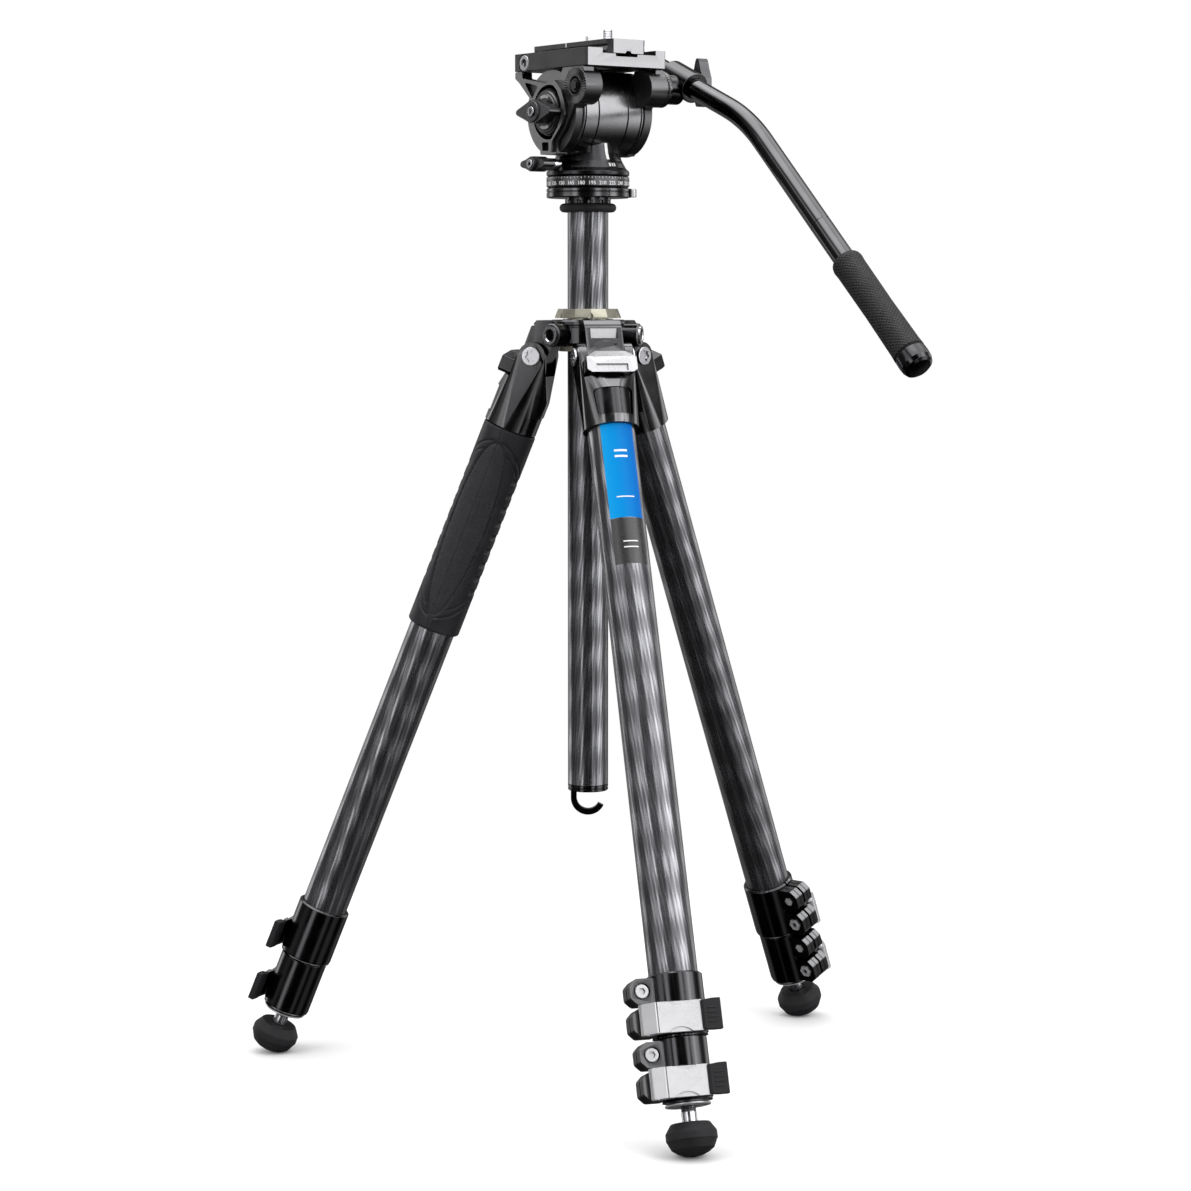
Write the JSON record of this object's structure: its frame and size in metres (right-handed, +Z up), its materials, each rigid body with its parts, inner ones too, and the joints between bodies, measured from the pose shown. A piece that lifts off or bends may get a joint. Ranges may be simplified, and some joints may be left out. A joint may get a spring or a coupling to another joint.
{
  "type": "tripod with fluid head",
  "caption": "Carbon tripod with telescoping legs, a centre column, spring stops, flip-lever leg locks and a pan and tilt fluid head with a sliding camera plate and an angled pan handle.",
  "frame": {"origin": "on the floor, under the middle of the object's footprint box", "axes": "+Z up, +Y where a camera on the head looks, +X the operator's right"},
  "size_m": [0.4244, 0.4806, 0.721],
  "materials": {
    "carbon_fibre": "glossy clear-coated woven carbon with pale diagonal streaks",
    "black_anodised": "satin black anodised",
    "silver_anodised": "satin silver anodised",
    "stainless_steel": "turned stainless steel",
    "champagne_anodised": "satin champagne anodised",
    "rubber": "moulded black rubber",
    "soft_grip": "textured dark grey rubber",
    "gloss_black": "gloss black"
  },
  "bodies": {
    "shoulder": {"shoulder": "black_anodised", "column_bush": "champagne_anodised"},
    "lock_collar": {"column_lock_collar": "champagne_anodised"},
    "column": {"column_tube": "carbon_fibre", "column_hook": "black_anodised", "column_top_plate": "black_anodised", "column_bumper": "rubber", "head_base": "black_anodised"},
    "pan": {"pan_body": "black_anodised"},
    "pan_knob": {"pan_lock_knob": "black_anodised"},
    "tilt": {"left_arm": "black_anodised", "right_arm": "black_anodised", "platform": "black_anodised", "tilt_shaft": "stainless_steel"},
    "tilt_knob": {"tilt_lock_knob": "black_anodised"},
    "plate": {"quick_release_plate": "black_anodised"},
    "camera_screw": {"camera_screw": "stainless_steel"},
    "jaw": {"clamp_jaw": "black_anodised"},
    "clamp_knob": {"clamp_knob": "black_anodised"},
    "handle": {"handle_clamp": "black_anodised", "handle_tube": "gloss_black", "handle_grip": "soft_grip"},
    "handle_knob": {"handle_knob": "black_anodised"},
    "leg_right": {"leg_right_knuckle": "black_anodised", "leg_right_pivot_bolt": "stainless_steel", "leg_right_upper_tube": "carbon_fibre", "leg_right_upper_clamp": "black_anodised"},
    "leg_right_tab": {"leg_right_angle_tab": "silver_anodised"},
    "leg_right_upper_lever": {"leg_right_upper_lever": "silver_anodised"},
    "leg_right_mid": {"leg_right_mid_tube": "carbon_fibre", "leg_right_lower_clamp": "black_anodised"},
    "leg_right_lower_lever": {"leg_right_lower_lever": "silver_anodised"},
    "leg_right_lower": {"leg_right_lower_tube": "carbon_fibre"},
    "leg_right_foot": {"leg_right_foot_stud": "stainless_steel", "leg_right_foot": "rubber"},
    "leg_front": {"leg_front_knuckle": "black_anodised", "leg_front_pivot_bolt": "stainless_steel", "leg_front_upper_tube": "carbon_fibre", "leg_front_upper_clamp": "black_anodised", "leg_front_foam_grip": "soft_grip"},
    "leg_front_tab": {"leg_front_angle_tab": "silver_anodised"},
    "leg_front_upper_lever": {"leg_front_upper_lever": "silver_anodised"},
    "leg_front_mid": {"leg_front_mid_tube": "carbon_fibre", "leg_front_lower_clamp": "black_anodised"},
    "leg_front_lower_lever": {"leg_front_lower_lever": "silver_anodised"},
    "leg_front_lower": {"leg_front_lower_tube": "carbon_fibre"},
    "leg_front_foot": {"leg_front_foot_stud": "stainless_steel", "leg_front_foot": "rubber"},
    "leg_rear": {"leg_rear_knuckle": "black_anodised", "leg_rear_pivot_bolt": "stainless_steel", "leg_rear_upper_tube": "carbon_fibre", "leg_rear_upper_clamp": "black_anodised"},
    "leg_rear_tab": {"leg_rear_angle_tab": "silver_anodised"},
    "leg_rear_upper_lever": {"leg_rear_upper_lever": "silver_anodised"},
    "leg_rear_mid": {"leg_rear_mid_tube": "carbon_fibre", "leg_rear_lower_clamp": "black_anodised"},
    "leg_rear_lower_lever": {"leg_rear_lower_lever": "silver_anodised"},
    "leg_rear_lower": {"leg_rear_lower_tube": "carbon_fibre"},
    "leg_rear_foot": {"leg_rear_foot_stud": "stainless_steel", "leg_rear_foot": "rubber"}
  },
  "joints": [
    {"name": "collar_turn", "type": "hinge", "parent": "shoulder", "child": "lock_collar", "pos_m": [-0.0329, 0.039, 0.53], "axis": [0, 0, 1], "range_deg": [0, 120]},
    {"name": "column_slide", "type": "slide", "parent": "shoulder", "child": "column", "axis": [0, 0, 1], "range_m": [-0.065, 0.25]},
    {"name": "pan_turn", "type": "hinge", "parent": "column", "child": "pan", "pos_m": [-0.0329, 0.039, 0.625], "axis": [0, 0, 1], "continuous": true},
    {"name": "pan_knob_turn", "type": "hinge", "parent": "pan", "child": "pan_knob", "pos_m": [-0.0679, 0.039, 0.631], "axis": [-1, 0, 0], "range_deg": [0, 180]},
    {"name": "tilt_turn", "type": "hinge", "parent": "pan", "child": "tilt", "pos_m": [-0.0329, 0.039, 0.666], "axis": [1, 0, 0], "range_deg": [-75, 55]},
    {"name": "tilt_knob_turn", "type": "hinge", "parent": "tilt", "child": "tilt_knob", "pos_m": [-0.0679, 0.039, 0.666], "axis": [-1, 0, 0], "range_deg": [0, 180]},
    {"name": "plate_slide", "type": "slide", "parent": "tilt", "child": "plate", "axis": [0, 1, 0], "range_m": [-0.02, 0.02]},
    {"name": "camera_screw_turn", "type": "hinge", "parent": "plate", "child": "camera_screw", "pos_m": [-0.0329, 0.016, 0.712], "axis": [0, 0, 1], "continuous": true},
    {"name": "clamp_knob_turn", "type": "hinge", "parent": "tilt", "child": "clamp_knob", "pos_m": [0.0071, 0.0705, 0.6986], "axis": [1, 0, 0], "range_deg": [0, 360]},
    {"name": "jaw_slide", "type": "slide", "parent": "tilt", "child": "jaw", "axis": [1, 0, 0], "range_m": [0, 0.0018]},
    {"name": "handle_swing", "type": "hinge", "parent": "tilt", "child": "handle", "pos_m": [0.0111, 0.0063, 0.6823], "axis": [-1, 0, 0], "range_deg": [-30, 90]},
    {"name": "handle_knob_turn", "type": "hinge", "parent": "handle", "child": "handle_knob", "pos_m": [0.0391, 0.0063, 0.6882], "axis": [1, 0, 0], "range_deg": [0, 180]},
    {"name": "leg_right_fold", "type": "hinge", "parent": "shoulder", "child": "leg_right", "pos_m": [0.00171, 0.04541, 0.501], "axis": [0.1822, -0.9833, 0], "range_deg": [-22, 58]},
    {"name": "leg_right_tab_pull", "type": "slide", "parent": "leg_right", "child": "leg_right_tab", "axis": [0.9117, 0.169, 0.3746], "range_m": [0, 0.005], "stiffness_N_per_m": 400, "springref_m": -0.001},
    {"name": "leg_right_upper_lever_open", "type": "hinge", "parent": "leg_right", "child": "leg_right_upper_lever", "pos_m": [0.18424, 0.05331, 0.0866], "axis": [0.3683, 0.0683, -0.9272], "range_deg": [0, 105]},
    {"name": "leg_right_mid_extend", "type": "slide", "parent": "leg_right", "child": "leg_right_mid", "axis": [0.3683, 0.0683, -0.9272], "range_m": [0, 0.33]},
    {"name": "leg_right_lower_lever_open", "type": "hinge", "parent": "leg_right_mid", "child": "leg_right_lower_lever", "pos_m": [0.19898, 0.05808, 0.04858], "axis": [0.3683, 0.0683, -0.9272], "range_deg": [0, 105]},
    {"name": "leg_right_lower_extend", "type": "slide", "parent": "leg_right_mid", "child": "leg_right_lower", "axis": [0.3683, 0.0683, -0.9272], "range_m": [0, 0.35]},
    {"name": "leg_right_foot_turn", "type": "hinge", "parent": "leg_right_lower", "child": "leg_right_foot", "pos_m": [0.1914, 0.08057, 0.0235], "axis": [0.3683, 0.0683, -0.9272], "continuous": true},
    {"name": "leg_front_fold", "type": "hinge", "parent": "shoulder", "child": "leg_front", "pos_m": [-0.05576, 0.06577, 0.501], "axis": [0.7604, 0.6494, 0], "range_deg": [-22, 58]},
    {"name": "leg_front_tab_pull", "type": "slide", "parent": "leg_front", "child": "leg_front_tab", "axis": [-0.6022, 0.705, 0.3746], "range_m": [0, 0.005], "stiffness_N_per_m": 400, "springref_m": -0.001},
    {"name": "leg_front_upper_lever_open", "type": "hinge", "parent": "leg_front", "child": "leg_front_upper_lever", "pos_m": [-0.15386, 0.21989, 0.0866], "axis": [-0.2433, 0.2849, -0.9272], "range_deg": [0, 105]},
    {"name": "leg_front_mid_extend", "type": "slide", "parent": "leg_front", "child": "leg_front_mid", "axis": [-0.2433, 0.2849, -0.9272], "range_m": [0, 0.33]},
    {"name": "leg_front_lower_lever_open", "type": "hinge", "parent": "leg_front_mid", "child": "leg_front_lower_lever", "pos_m": [-0.16536, 0.23027, 0.04858], "axis": [-0.2433, 0.2849, -0.9272], "range_deg": [0, 105]},
    {"name": "leg_front_lower_extend", "type": "slide", "parent": "leg_front_mid", "child": "leg_front_lower", "axis": [-0.2433, 0.2849, -0.9272], "range_m": [0, 0.35]},
    {"name": "leg_front_foot_turn", "type": "hinge", "parent": "leg_front_lower", "child": "leg_front_foot", "pos_m": [-0.18105, 0.21247, 0.0235], "axis": [-0.2433, 0.2849, -0.9272], "continuous": true},
    {"name": "leg_rear_fold", "type": "hinge", "parent": "shoulder", "child": "leg_rear", "pos_m": [-0.04465, 0.00582, 0.501], "axis": [-0.9426, 0.3338, 0], "range_deg": [-22, 58]},
    {"name": "leg_rear_tab_pull", "type": "slide", "parent": "leg_rear", "child": "leg_rear_tab", "axis": [-0.3095, -0.874, 0.3746], "range_m": [0, 0.005], "stiffness_N_per_m": 400, "springref_m": -0.001},
    {"name": "leg_rear_upper_lever_open", "type": "hinge", "parent": "leg_rear", "child": "leg_rear_upper_lever", "pos_m": [-0.12908, -0.1562, 0.0866], "axis": [-0.125, -0.3531, -0.9272], "range_deg": [0, 105]},
    {"name": "leg_rear_mid_extend", "type": "slide", "parent": "leg_rear", "child": "leg_rear_mid", "axis": [-0.125, -0.3531, -0.9272], "range_m": [0, 0.33]},
    {"name": "leg_rear_lower_lever_open", "type": "hinge", "parent": "leg_rear_mid", "child": "leg_rear_lower_lever", "pos_m": [-0.13232, -0.17135, 0.04858], "axis": [-0.125, -0.3531, -0.9272], "range_deg": [0, 105]},
    {"name": "leg_rear_lower_extend", "type": "slide", "parent": "leg_rear_mid", "child": "leg_rear_lower", "axis": [-0.125, -0.3531, -0.9272], "range_m": [0, 0.35]},
    {"name": "leg_rear_foot_turn", "type": "hinge", "parent": "leg_rear_lower", "child": "leg_rear_foot", "pos_m": [-0.10905, -0.17604, 0.0235], "axis": [-0.125, -0.3531, -0.9272], "continuous": true}
  ],
  "couplings": [
    {"joint": "jaw_slide", "follows": "clamp_knob_turn", "m_per_rad": 0.00028648}
  ]
}
